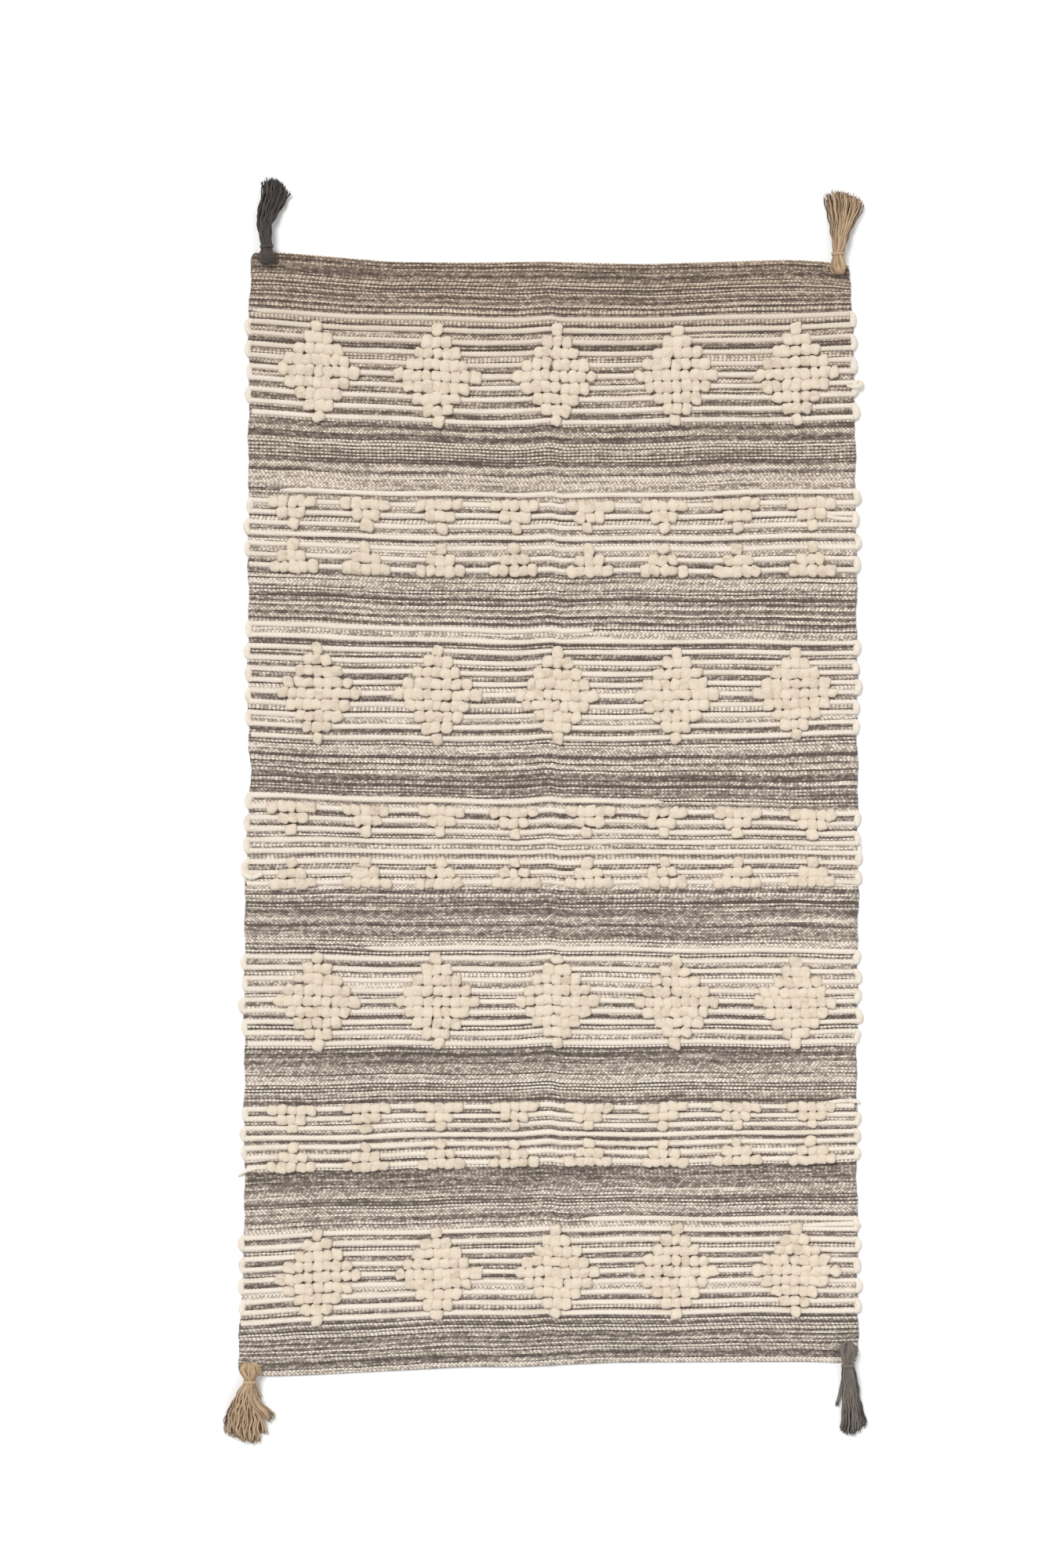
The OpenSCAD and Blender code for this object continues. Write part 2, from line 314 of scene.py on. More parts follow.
def tube(mesh, path, radius, sides=8, twist=0.0, lobes=2, depth=0.0, flat=1.0, at=(0.0, 0.0)):
    """Yarn along a path: radius may vary, flat scales its height, and depth cuts the grooves
    between its plies, which make one turn every twist mm."""
    path = np.asarray(path, float)
    normal, across = frames_along(path)
    steps = np.linalg.norm(np.diff(path, axis=0), axis=1)
    along = np.concatenate([[0], np.cumsum(steps)])
    angle = np.linspace(0, 2 * math.pi, sides, endpoint=False)
    radius = np.broadcast_to(radius, len(path))[:, None]
    if depth:
        turn = 2 * math.pi * along[:, None] / twist
        radius = radius * (1 - depth * np.cos(lobes * (angle[None] - turn) / 2) ** 6)
    ring = radius[..., None] * (
        np.cos(angle)[None, :, None] * normal[:, None] * flat
        + np.sin(angle)[None, :, None] * across[:, None])
    turns = np.linspace(0, 1, sides + 1) * 2 * math.pi * float(np.mean(radius))
    uv = np.stack(np.broadcast_arrays(turns[None] + at[0], along[:, None] + at[1]), axis=-1)
    mesh.grid(path[:, None] + ring, uv, around=True, caps=True)


# ---------------------------------------------------------------- materials

class Graph:
    """A material, with short calls for the few kinds of node that it needs."""

    def __init__(self, name):
        self.material = bpy.data.materials.new(name)
        self.material.use_nodes = True
        self.tree = self.material.node_tree
        self.shader = self.tree.nodes["Principled BSDF"]
        self.uv = self.node("ShaderNodeUVMap", uv_map=UV).outputs["UV"]

    def node(self, kind, **settings):
        made = self.tree.nodes.new(kind)
        for key, value in settings.items():
            setattr(made, key, value)
        return made

    def feed(self, socket, value):
        if isinstance(value, bpy.types.NodeSocket):
            self.tree.links.new(value, socket)
        else:
            socket.default_value = value

    def math(self, operation, *values):
        made = self.node("ShaderNodeMath", operation=operation)
        for socket, value in zip(made.inputs, values):
            self.feed(socket, value)
        return made.outputs[0]

    def add(self, *values):
        total = values[0]
        for value in values[1:]:
            total = self.math("ADD", total, value)
        return total

    def times(self, *values):
        total = values[0]
        for value in values[1:]:
            total = self.math("MULTIPLY", total, value)
        return total

    def about(self, value, size):
        """How far the value is from a half, times size."""
        return self.times(self.add(value, -0.5), size)

    def vector(self, x, y, z=0.0):
        made = self.node("ShaderNodeCombineXYZ")
        for socket, value in zip(made.inputs, (x, y, z)):
            self.feed(socket, value)
        return made.outputs[0]

    def weave_mm(self):
        """The weave's own u and v, in mm."""
        split = self.node("ShaderNodeSeparateXYZ")
        self.feed(split.inputs[0], self.uv)
        return self.times(split.outputs[0], 1000.0), self.times(split.outputs[1], 1000.0)

    def noise(self, vector, detail=2.0, rough=0.5):
        made = self.node("ShaderNodeTexNoise", noise_dimensions="3D")
        self.feed(made.inputs["Vector"], vector)
        self.feed(made.inputs["Scale"], 1.0)
        self.feed(made.inputs["Detail"], detail)
        self.feed(made.inputs["Roughness"], rough)
        return made.outputs[0]

    def random(self, vector):
        made = self.node("ShaderNodeTexWhiteNoise", noise_dimensions="3D")
        self.feed(made.inputs["Vector"], vector)
        return made.outputs["Value"]

    def span(self, value, low, high, to_low=0.0, to_high=1.0):
        """value, taken smoothly from low..high to to_low..to_high, and held at both ends."""
        made = self.node("ShaderNodeMapRange", interpolation_type="SMOOTHSTEP")
        for socket, number in zip(made.inputs, (value, low, high, to_low, to_high)):
            self.feed(socket, number)
        return made.outputs[0]

    def choose(self, share, first, second):
        """The first number where share is 0, the second where it is 1."""
        made = self.node("ShaderNodeMix", data_type="FLOAT")
        for socket, value in zip(made.inputs[:1] + made.inputs[2:4], (share, first, second)):
            self.feed(socket, value)
        return made.outputs[0]

    def mix(self, share, first, second, blend="MIX"):
        made = self.node("ShaderNodeMix", data_type="RGBA", blend_type=blend)
        self.feed(made.inputs[0], share)
        self.feed(made.inputs[6], first)
        self.feed(made.inputs[7], second)
        return made.outputs[2]

    def ramp(self, value, stops):
        made = self.node("ShaderNodeValToRGB")
        band = made.color_ramp
        while len(band.elements) < len(stops):
            band.elements.new(0.5)
        for element, (at, colour) in zip(band.elements, stops):
            element.position = at
            element.color = colour
        self.feed(made.inputs[0], value)
        return made.outputs[0]

    def finish(self, colour, height, strength, distance, roughness=0.85, sheen=0.25):
        bump = self.node("ShaderNodeBump")
        self.feed(bump.inputs["Height"], height)
        self.feed(bump.inputs["Strength"], strength)
        self.feed(bump.inputs["Distance"], distance)
        self.feed(self.shader.inputs["Base Color"], colour)
        self.feed(self.shader.inputs["Normal"], bump.outputs[0])
        self.shader.inputs["Roughness"].default_value = roughness
        self.shader.inputs["Specular IOR Level"].default_value = 0.2
        self.shader.inputs["Sheen Weight"].default_value = sheen
        self.shader.inputs["Sheen Roughness"].default_value = 0.6
        return self.material


def srgb(text):
    """A colour from its usual hex form."""
    values = [int(text[i:i + 2], 16) / 255 for i in (0, 2, 4)]
    linear = [v / 12.92 if v <= 0.04045 else ((v + 0.055) / 1.055) ** 2.4 for v in values]
    return (*linear, 1.0)


def picks(g, u, v, odd):
    """One set of picks, the even or the odd ones, which the other set lies between: the height
    of its yarn over each point, its roundness alone, how far the pick rises or dives there,
    the number of the nearest pick and of the bead on it, and the run of shade along it."""
    turn = g.add(g.times(v, 0.5 / PICK), 0.5 * odd)
    pick = g.math("ROUND", turn)
    away = g.times(g.add(turn, g.times(pick, -1.0)), 2 * PICK)
    hump = g.add(1.0, g.times(away, away, -1 / PICK_R ** 2))
    number = g.add(g.times(pick, 2.0), float(odd))
    stagger = g.times(g.random(g.vector(number, 5.0)), STAGGER)
    beads = g.add(g.times(u, 1 / BEAD), stagger, 0.5 * odd)
    run = g.noise(g.vector(g.times(u, 1 / 150), g.times(number, 7.31)), 3.0, 0.55)
    crown = g.math("COSINE", g.times(beads, 2 * math.pi))
    rise = g.span(run, TIGHT_FROM, TIGHT_FROM + 0.14, 0.34, 0.1)
    wave = g.times(crown, rise)
    return g.add(hump, wave), hump, wave, number, g.math("ROUND", beads), run


def ground_material(name):
    """Weft-faced plain weave: two sets of picks of marled yarn, each half a bead on from the
    other. What shows is whichever yarn stands higher, with shade painted dark brown in the gaps where
    a pick dives and between picks."""
    g = Graph(name)
    u, v = g.weave_mm()
    sway = g.noise(g.vector(g.times(u, 1 / 38), g.times(v, 1 / 11)), 1.0)
    nudge = g.noise(g.vector(g.times(u, 1 / 7), g.times(v, 1 / 3), 8.0), 1.0)
    v_bent = g.add(v, g.times(sway, 2.6), g.times(nudge, 0.5))
    u_bent = g.add(u, g.times(g.noise(g.vector(g.times(u, 1 / 8), g.times(v, 1 / 3), 5.0)), 4.5))
    even = picks(g, u_bent, v_bent, 0)
    odd = picks(g, u_bent, v_bent, 1)
    upper = g.math("GREATER_THAN", odd[0], even[0])
    height, body, wave, pick, bead, run = (g.choose(upper, a, b) for a, b in zip(even, odd))
    marl = g.random(g.vector(bead, pick))
    dye = g.random(g.vector(pick, 3.0))
    patch = g.noise(g.vector(g.times(u, 1 / 170), g.times(v, 1 / 26)), 2.0)
    shade = g.add(g.about(run, 1.5), g.about(marl, 0.5), g.about(dye, 1.0),
                  g.about(upper, -0.2), g.about(patch, 0.3), 0.5)
    yarn = g.ramp(shade, (
        (0.0, srgb("574c44")), (0.25, srgb("7d7169")), (0.5, srgb("a79a8f")),
        (0.75, srgb("d2c5b6")), (1.0, srgb("eadfd0"))))
    # Painted shade: where a pick dives under a warp, and towards the sides of each pick, the yarn
    # gives way to dark brown, as shade in the gaps of the weave.
    yarn_over_gap_shade = g.times(g.span(wave, -0.36, 0.1, 0.4, 1.0), g.span(body, 0.0, 0.8, 0.15, 1.0))
    colour = g.mix(yarn_over_gap_shade, srgb("3f372f"), yarn)
    # Painted shade: the cloth turns a little darker towards both ends, and darker and browner still at
    # the far end, where the light falls off.
    painted_end_shade = g.ramp(g.times(g.add(v, HALF_L), 0.5 / HALF_L), (
        (0.0, (0.95, 0.95, 0.95, 1)), (0.3, (1.0, 1.0, 1.0, 1)), (0.75, (0.98, 0.965, 0.95, 1)),
        (0.93, (0.87, 0.82, 0.77, 1)), (1.0, (0.78, 0.7, 0.62, 1))))
    colour = g.mix(1.0, colour, painted_end_shade, "MULTIPLY")
    fibre = g.noise(g.vector(g.times(u, 1.2), g.times(v, 4.0)), 2.0)
    relief = g.add(g.span(height, 0.0, 1.5), g.times(fibre, 0.2))
    return g.finish(colour, relief, 0.9, 0.7 * MM)


def roving_material(name, light, tan, fibre_u=1.6, fibre_v=0.25, crumple=0.0, painted_end_shade=False):
    """Thick unspun cotton: soft cream with faint combed fibres, tan by lot and as painted shade in its
    hollows, and crumpled where it is pulled up in loops. Its flag paints the far band duller, as shade
    where the light falls off."""
    g = Graph(name)
    u, v = g.weave_mm()
    comb = g.noise(g.vector(g.times(u, fibre_u), g.times(v, fibre_v)), 3.0, 0.6)
    fluff = g.noise(g.vector(g.times(u, 0.35), g.times(v, 0.35), 4.0), 3.0, 0.6)
    lot = g.noise(g.vector(g.times(u, 1 / 60), g.times(v, 1 / 14), 9.0), 2.0)
    fold = g.noise(g.vector(g.times(u, 0.2), g.times(v, 0.13), 6.0), 1.0)
    crease = g.span(g.math("ABSOLUTE", g.add(fold, -0.5)), 0.0, 0.1)
    shade = g.add(g.about(comb, 0.5), g.about(fluff, 0.6), g.about(lot, 0.9), 0.62)
    # Painted shade in part: where the combed fibres and fluff sink the bump they also turn tan, as
    # shade in their hollows; the lot noise is the roving's own tone.
    colour = g.mix(g.span(shade, 0.1, 0.75), tan, light)
    # Painted shade: duller towards the far end, where the light falls off.
    if painted_end_shade:
        far_shade = g.span(v, ROW_UV_STEP * FAR_SHADE_ROWS[0], ROW_UV_STEP * FAR_SHADE_ROWS[1])
        colour = g.mix(far_shade, colour, (0.89, 0.86, 0.83, 1), "MULTIPLY")
    fine = g.noise(g.vector(g.times(u, fibre_u * 3), g.times(v, fibre_v * 3), 2.0), 2.0)
    height = g.add(g.times(comb, 0.5), g.times(fluff, 0.5), g.times(fine, 0.2),
                   g.times(crease, crumple))
    return g.finish(colour, height, 0.5, 0.9 * MM, 0.9, 0.35)


# Painted shade: the deeper a strand's place, the darker it is painted.
DEEPEST = 1000      # place in the yarn's texture of the deepest and darkest strand


def yarn_material(name, light, dark, ply=2.6):
    """Spun tassel yarn: plies that wind round it, in strands of different shade, with painted shade in
    the grooves between plies. The further on a strand's place in the texture, the deeper it lies in
    the bundle and the darker it is painted, as the shade there."""
    g = Graph(name)
    around, along = g.weave_mm()
    strand = g.noise(g.vector(g.times(around, 1 / 14), g.times(along, 1 / 55), 3.0), 1.0)
    wind = g.add(g.times(along, 1 / ply), g.times(around, 0.35))
    ridge = g.math("ABSOLUTE", g.math("SINE", g.times(wind, math.pi)))
    fuzz = g.noise(g.vector(g.times(around, 1.4), g.times(along, 0.9), 5.0), 3.0, 0.65)
    # Painted shade: darker the deeper a strand lies in the bundle, and darker in the grooves between
    # plies than on their crests.
    shade = g.add(g.about(strand, 1.8), g.about(fuzz, 0.9), g.times(ridge, 0.16),
                  g.times(around, -0.7 / DEEPEST), 0.62)
    colour = g.mix(g.span(shade, 0.0, 0.9), dark, light)
    height = g.add(g.times(ridge, 0.4), g.times(fuzz, 0.6))
    return g.finish(colour, height, 0.5, 0.4 * MM, 0.85, 0.2)


GROUND = ground_material("ground_weave")
HEM_WEAVE = ground_material("hem_weave")
THICK = roving_material("thick_weft", srgb("e0d6c8"), srgb("c0b09b"), painted_end_shade=True)
LOOPS = roving_material("popcorn_loops", srgb("d9cbb8"), srgb("b09c85"), 0.9, 0.16, 0.5)
YARNS = {
    name: yarn_material(name, srgb(light), srgb(dark))
    for name, light, dark in (("charcoal_yarn", "4a423d", "100d0b"),
                              ("beige_yarn", "c0a483", "4f3921"),
                              ("grey_yarn", "746b63", "1f1a16"))
}


def crosses_crease(piece):
    """Bakes the piece's place into its mesh."""
    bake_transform(piece)


# ---------------------------------------------------------------- ground and hems

ACROSS = 110        # points of the ground's mesh across the cloth, and along it
ALONG = 400


def cloth_us(v, count):
    """count values of u from the left edge to the right one, for each v."""
    share = np.linspace(0, 1, count)[None]
    left, right = edge(-1, v)[:, None], edge(1, v)[:, None]
    return left + (right - left) * share


def make_ground():
    """The plain weave between the hems, as a closed sheet with its own thickness."""
    v = np.linspace(-HALF_L + HEM, HALF_L - HEM, ALONG)
    u = cloth_us(v, ACROSS)
    vv = np.broadcast_to(v[:, None], u.shape)
    rim = np.minimum(1, np.minimum(np.arange(ACROSS), np.arange(ACROSS)[::-1]))
    half = (GROUND_HIGH - GROUND_LOW) / 2 * (0.35 + 0.65 * rim[None])
    middle = (GROUND_HIGH + GROUND_LOW) / 2
    top = place(u, vv, middle + half)
    bottom = place(u, vv, middle - half)
    ring = np.concatenate([top, bottom[:, ::-1]], axis=1)
    uv = np.stack([u, vv], axis=-1)
    uv = np.concatenate([uv, uv[:, ::-1], uv[:, :1]], axis=1)
    mesh = Mesh()
    mesh.grid(ring, uv, around=True)
    for row in (0, -1):
        lip = np.stack([bottom[row], top[row]])
        mesh.grid(lip, np.stack([uv[row, :ACROSS]] * 2))
    piece = mesh.piece("ground_weave", GROUND)
    weld(piece)
    return piece


def make_hem(name, end):
    """The turned end of the cloth: two layers, with a rounded fold at the outside."""
    count = 150
    v_out, v_in = end * HALF_L, end * (HALF_L - HEM - 0.5)
    angle = np.linspace(0, 2 * math.pi, 20, endpoint=False) + 0.01
    round_v = np.sign(np.cos(angle)) * np.abs(np.cos(angle)) ** 0.5
    round_z = np.sign(np.sin(angle)) * np.abs(np.sin(angle)) ** 0.6
    v = (v_out + v_in) / 2 + (v_out - v_in) / 2 * round_v
    taper = np.minimum(1, 0.5 + 0.5 * np.minimum(np.arange(count), np.arange(count)[::-1]) / 2)
    z = HEM_Z + HEM_HALF_T * round_z[None] * taper[:, None]
    u = cloth_us(v, count).T
    ring = place(u, v[None], z)
    uv = np.stack(np.broadcast_arrays(u, v[None]), axis=-1)
    uv = np.concatenate([uv, uv[:, :1]], axis=1)
    mesh = Mesh()
    mesh.grid(ring, uv, around=True, caps=True, flip=end < 0)
    return mesh.piece(name, HEM_WEAVE)


# ---------------------------------------------------------------- thick rows and turns

ROW_SIDES = 10
FREE_END_L = 26     # a row that starts within the cloth grows to its full size over this


def row_reach(band, row, v):
    """u where a row starts and stops."""
    low, high = float(edge(-1, v)) + 2, float(edge(1, v)) - 2
    if row == 0:
        low = max(low, FIRST_ROW[band][0] * HALF_W[-1])
        high = min(high, FIRST_ROW[band][1] * HALF_W[1])
    return low, high


def bead_samples(low, high, odd):
    """u and swell, from 0 between beads to 1 at a bead's crown, along one row."""
    phase = np.array([0.0, 0.2, 0.5, 0.8])
    first = math.floor(low / BEAD) - 1
    beads = np.arange(first, math.ceil(high / BEAD) + 1)
    u = ((beads[:, None] + phase[None] + 0.5 * odd) * BEAD).ravel()
    swell = np.tile(np.abs(np.sin(np.pi * phase)) ** 0.6, len(beads))
    inside = (u > low) & (u < high)
    return u[inside], swell[inside]


def thick_row(mesh, low, high, v, odd, taper_low, taper_high):
    """One row of thick weft, beaded where it dives under every second warp, and tapered at an
    end that lies free on the cloth."""
    u, swell = bead_samples(low, high, odd)
    size = 0.82 + 0.18 * swell + 0.035 * rng.standard_normal(len(u))
    wide = ROW_W / 2 * size * (1 + 0.05 * np.sin(u / 29 + v) + 0.04 * np.sin(u / 11 + 3 * v))
    tall = ROW_HALF_H * (0.88 + 0.12 * swell)
    fade = np.ones(len(u))
    if taper_low:
        fade = fade * smooth(0.3 + (u - low) / FREE_END_L)
    if taper_high:
        fade = fade * smooth(0.3 + (high - u) / FREE_END_L)
    angle = np.linspace(0, 2 * math.pi, ROW_SIDES, endpoint=False)
    vv = v + (wide * fade)[:, None] * np.sin(angle)[None]
    zz = ROW_Z + (tall * (0.5 + 0.5 * fade))[:, None] * np.cos(angle)[None]
    uu = np.broadcast_to(u[:, None], vv.shape)
    arc = np.linspace(0, 1, ROW_SIDES + 1) * 2 * math.pi * ROW_W / 2
    uv = np.stack(np.broadcast_arrays(u[:, None], v * ROW_UV_STEP + arc[None]), axis=-1)
    mesh.grid(place(uu, vv, zz), uv, around=True, caps=True, flip=True)


def make_rows(band):
    """All the thick rows of one band."""
    mesh = Mesh()
    for row, v in enumerate(ROW_VS[band]):
        low, high = row_reach(band, row, v)
        free_low = row == 0 and FIRST_ROW[band][0] > -1
        free_high = row == 0 and FIRST_ROW[band][1] < 1
        thick_row(mesh, low, high, v, row % 2, free_low, free_high)
    return mesh.piece(f"rows_{band + 1}", THICK)


def make_turn(mesh, side, band, row):
    """The weft turns back round the selvedge, from one row to the next."""
    va, vb = ROW_VS[band][row], ROW_VS[band][row + 1]
    swing = 2.6 + 1.0 * rng.standard_normal()
    t = np.linspace(0, 1, 17)
    bow = np.sin(np.pi * t) ** 0.7
    v = va + (vb - va) * (0.5 - 0.5 * np.cos(np.pi * t)) + 0.8 * np.sin(2 * np.pi * t)
    x = edge(side, v) + side * (-5 + (3.5 + swing) * bow)
    path = place(x, v, ROW_Z + 0.3 * bow)
    radius = 3.5 + rng.uniform(0.7, 1.8) * np.sin(np.pi * t) + 0.2 * rng.standard_normal(len(t))
    tube(mesh, path, radius, 12, twist=ROVING_TWIST, lobes=3, depth=0.08, flat=0.7,
         at=(rng.uniform(0, 300), rng.uniform(0, 300)))


# Loose bits of thick weft at the selvedges: band, row and side of each, and its route from
# the edge as (outward, along, height, radius).
STRAY_ENDS = (
    (0, 6, 1, ((-9, -4, 6, 2.0), (0, -6, 8, 3.0), (8, -5, 7, 4.2), (11, -1, 5, 3.6), (6, 3, 4, 2))),
    (1, 2, 1, ((-46, -1, 6, 2.4), (-24, -6, 5, 2.8), (-6, -7, 5, 3.0), (4, -6, 4, 2.4))),
    (3, 4, 1, ((-4, 6, 7, 1.0), (2, 4, 7, 1.1), (5, -2, 5, 1.0), (4, -10, 2, 0.8))),
    (3, 7, -1, ((-22, -1, 7, 2.6), (-10, -6, 8, 3.4), (-1, -4, 7, 3.8), (5, 0, 5, 3.4), (2, 6, 4, 2))),
    (5, 6, -1, ((-16, 0, 6, 3.0), (-4, -2, 5, 3.0), (5, -6, 4, 2.0), (10, -10, 2, 1.0))),
    (5, 0, 1, ((-52, 1, 6, 2.4), (-26, 6, 5, 2.8), (-6, 7, 5, 3.0), (4, 5, 4, 2.4))),
    (6, 1, 1, ((-70, 4, 5, 2.6), (-40, 6, 6, 3.4), (-10, 7, 6, 3.6), (4, 6, 5, 3.0))),
)


def stray_end(mesh, band, row, side, stops):
    """One loose end or doubled end of the thick weft."""
    out, along, height, radius = spread_out(stops, 28)
    v = ROW_VS[band][row] + along
    path = rounded(place(edge(side, v) + side * out, v, height))
    radius = radius * rng.uniform(0.93, 1.07, len(radius))
    tube(mesh, path, radius, 12, twist=ROVING_TWIST, lobes=3, depth=0.1,
         at=(rng.uniform(0, 300), rng.uniform(0, 300)))


def make_turns(side):
    """The turns and the stray ends at one selvedge."""
    mesh = Mesh()
    for band, rows in enumerate(ROW_VS):
        for row in range(FIRST_TURN[side][band], len(rows) - 1, 2):
            make_turn(mesh, side, band, row)
    for band, row, at_side, stops in STRAY_ENDS:
        if at_side == side:
            stray_end(mesh, band, row, side, stops)
    return mesh.piece("selvedge_left" if side < 0 else "selvedge_right", THICK)


# ---------------------------------------------------------------- popcorn loops

LUMP_RINGS = 14
LUMP_SIDES = 24
POLE_GAP = 0.12     # how far the first and the last ring stay from the poles, in radians
FULLNESS = 2.5      # of a loop's profile, where 2 is a circle
LOOP_HALF_W = 7.4
LOOP_HALF_H = 5.0
LOOP_Z = 8.0        # height of a loop's middle


def unit_lump():
    """Directions over a ball whose poles lie across, so that the crown has even faces."""
    turn = np.linspace(0, 2 * math.pi, LUMP_SIDES, endpoint=False)
    rise = np.linspace(-0.5 * math.pi, 0.5 * math.pi, LUMP_RINGS + 1)
    rise[0] += POLE_GAP
    rise[-1] -= POLE_GAP
    x = np.sin(rise)[:, None] + 0 * turn[None]
    y = np.cos(rise)[:, None] * np.cos(turn)[None]
    z = np.cos(rise)[:, None] * np.sin(turn)[None]
    return np.stack([x, y, z], axis=-1)


def split_lump(ball):
    """The ball's directions in plan, and how far each point is from the axis and from the
    middle's level, on a profile a little fuller than a circle."""
    out, up = np.hypot(ball[..., 0], ball[..., 1]), ball[..., 2]
    reach = (out ** FULLNESS + np.abs(up) ** FULLNESS) ** (1 / FULLNESS)
    return ball[..., :2] / out[..., None], out / reach, up / reach


LUMP_PLAN, LUMP_SPREAD, LUMP_RISE = split_lump(unit_lump())


def lump(mesh, centre, size, heading):
    """One plump loop: a squarish cushion, dented and skewed, turned by heading (radians)."""
    square = rng.uniform(2.8, 4.0)
    plan = LUMP_PLAN / (np.abs(LUMP_PLAN) ** square).sum(-1, keepdims=True) ** (1 / square)
    p = np.concatenate([plan * LUMP_SPREAD[..., None], LUMP_RISE[..., None]], axis=-1)
    way, phase = rng.uniform(0, 2 * math.pi, (2, 4))        # the last of each is spare
    slant = [p[..., 0] * math.cos(a) + p[..., 1] * math.sin(a) for a in way[:3]]
    swell = 1 + 0.06 * np.sin(2.6 * slant[0] + phase[0]) + 0.05 * np.sin(3.9 * slant[1] + phase[1])
    dent = np.exp(-((slant[2] - 0.4 * math.sin(phase[2])) / 0.22) ** 2) * (p[..., 2] > 0)
    swell = swell - rng.uniform(0, 0.09) * dent
    local = p * swell[..., None] * np.array(size)
    local[..., 0] += rng.normal(0, 0.1) * local[..., 1]
    c, s = math.cos(heading), math.sin(heading)
    x = c * local[..., 0] - s * local[..., 1]
    y = s * local[..., 0] + c * local[..., 1]
    tilt = rng.normal(0, 0.08, 2)
    z = local[..., 2] + tilt[0] * x + tilt[1] * y
    points = np.stack([x, y, z], axis=-1) + centre
    grain = rng.normal(0, 0.45)
    gc, gs = math.cos(grain), math.sin(grain)
    uv_x = gc * local[..., 0] - gs * (local[..., 1] + 0.4 * local[..., 2])
    uv_y = gs * local[..., 0] + gc * (local[..., 1] + 0.4 * local[..., 2])
    uv = np.stack([uv_x, uv_y], axis=-1) + rng.uniform(0, 900, 2)
    uv = np.concatenate([uv, uv[:, :1]], axis=1)
    mesh.grid(points, uv, around=True, caps=True, flip=True)


def make_loops(band):
    """All the loops of one band."""
    mesh = Mesh()
    pitch = ROW_VS[band][0] - ROW_VS[band][1]
    for row, count in enumerate(BANDS[band]):
        for middle in motif_us(band):
            shift, spread = rng.normal(0, 1.1), rng.normal(1, 0.025)
            for k in range(count):
                across = (k - (count - 1) / 2) * LOOP_PITCH * spread
                u = middle + shift + across + rng.normal(0, 0.7)
                v = ROW_VS[band][row] - 0.8 + rng.normal(0, 0.6)
                size = np.array([LOOP_HALF_W, pitch * 0.5 + 0.5, LOOP_HALF_H])
                size = size * rng.normal(1, 0.07, 3)
                centre = place(u, v, LOOP_Z + rng.normal(0, 0.5))
                lump(mesh, centre, size, rng.normal(0, 0.25))
    return mesh.piece(f"loops_{band + 1}", LOOPS)


# ---------------------------------------------------------------- tassels

TIE_Z = 16.3        # height of the tie cord where it passes through the head
TIE_R = 1.2
TIE_REACH = 12.7    # how far to each side of the head the cord goes down into the cloth
KNOT_Z = 5.6        # height at which it does
HEAD_LOW = 5.3      # underside of a head, just over the hem
HEAD_YARNS = 38
NECK_R = 7.5
WRAP_L = 4.0        # length of the neck under the binding
WRAP_TURNS = 4
WRAP_R = 0.78
STRAND_R = 1.25
SKIRT_HALF_T = 6
SKIRT_SINKS = (26, 75)      # the skirt comes down to the floor between these distances
SKIRT_AT = (0, 0.17, 0.33, 0.48, 0.63, 0.78, 1)
TIP_AT = (-1, -0.5, 0, 0.5, 1)

# One tassel a corner, in its own space: X across, +Y from the tie to the tips, and end, which
# is -1 where that space is turned half round. neck: from the tie to the binding. head: half
# width, distance of its end behind the tie, squareness of that end. length: of the skirt.
# middle and half: sideways place and half width of the skirt at each share of its length in
# SKIRT_AT. tips: how long its strands are from one side to the other, at TIP_AT. wave: how
# much they waver.
TASSELS = (
    dict(name="far_left", end=1, yarn="charcoal_yarn", strands=56, neck=12,
         head=(11, 7.5, 4.5), length=88, wave=1.0,
         middle=(0, -2.2, -3.1, 0.9, 5.7, 10.8, 10), half=(7.6, 9.3, 11, 15.5, 18.5, 20, 19),
         tips=(0.95, 1.0, 1.0, 0.93, 0.8)),
    dict(name="far_right", end=1, yarn="beige_yarn", strands=60, neck=14,
         head=(10.6, 9, 3.0), length=81, wave=0.8,
         middle=(0, 1.9, 3.3, 5.5, 8.6, 9.2, 7), half=(7.2, 10.6, 13.7, 17.2, 23, 27, 29),
         tips=(0.89, 1.0, 0.98, 0.93, 0.8)),
    dict(name="near_left", end=-1, yarn="beige_yarn", strands=84, neck=12,
         head=(14, 10, 3.2), length=79, wave=1.2,
         middle=(0, 4.7, 7.2, 8.2, 9.6, 10.2, 8), half=(8.5, 13.5, 18, 23, 26, 25, 22),
         tips=(1.0, 0.99, 0.96, 0.9, 0.84)),
    dict(name="near_right", end=-1, yarn="grey_yarn", strands=56, neck=17,
         head=(12, 11, 2.1), length=89, wave=0.8,
         middle=(0, -2, -3.7, -4.6, -7, -8.6, -7), half=(8.2, 11, 12, 13.4, 15, 18, 19),
         tips=(0.83, 0.95, 1.0, 0.99, 0.93)),
)


def tassel_frame(tassel):
    """The function that takes points of a tassel's own space into the rug's space."""
    low, high = box_mm(f"tie_{tassel['name']}")
    origin = np.array([(low[0] + high[0]) / 2, (low[1] + high[1]) / 2, TIE_Z])

    def to_rug(points):
        return origin + np.asarray(points, float) * np.array([tassel["end"], tassel["end"], 1])
    return to_rug


def tassel_piece(mesh, kind, tassel, body):
    """The piece, on its body and in the place of the tassel's CAD node of that kind."""
    name, yarn = tassel["name"], tassel["yarn"]
    node = kind.split("_")[0]
    piece = mesh.piece(f"{kind}_{name}", YARNS[yarn])
    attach(piece, f"{body}_{name}")
    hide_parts(f"{node}_{name}")


def anywhere(depth=0.2):
    """A random place in a yarn's texture, for a strand that lies this deep, from 0 to 1, and so is
    painted this much darker as shade.
    """
    return DEEPEST * np.clip(depth + rng.uniform(-0.2, 0.2), 0, 1), rng.uniform(0, 400)


def on_floor(path):
    """The strand's path in a tassel's space, kept from sinking into the floor."""
    path[:, 2] = np.maximum(path[:, 2], STRAND_R - TIE_Z + 0.2)
    return path


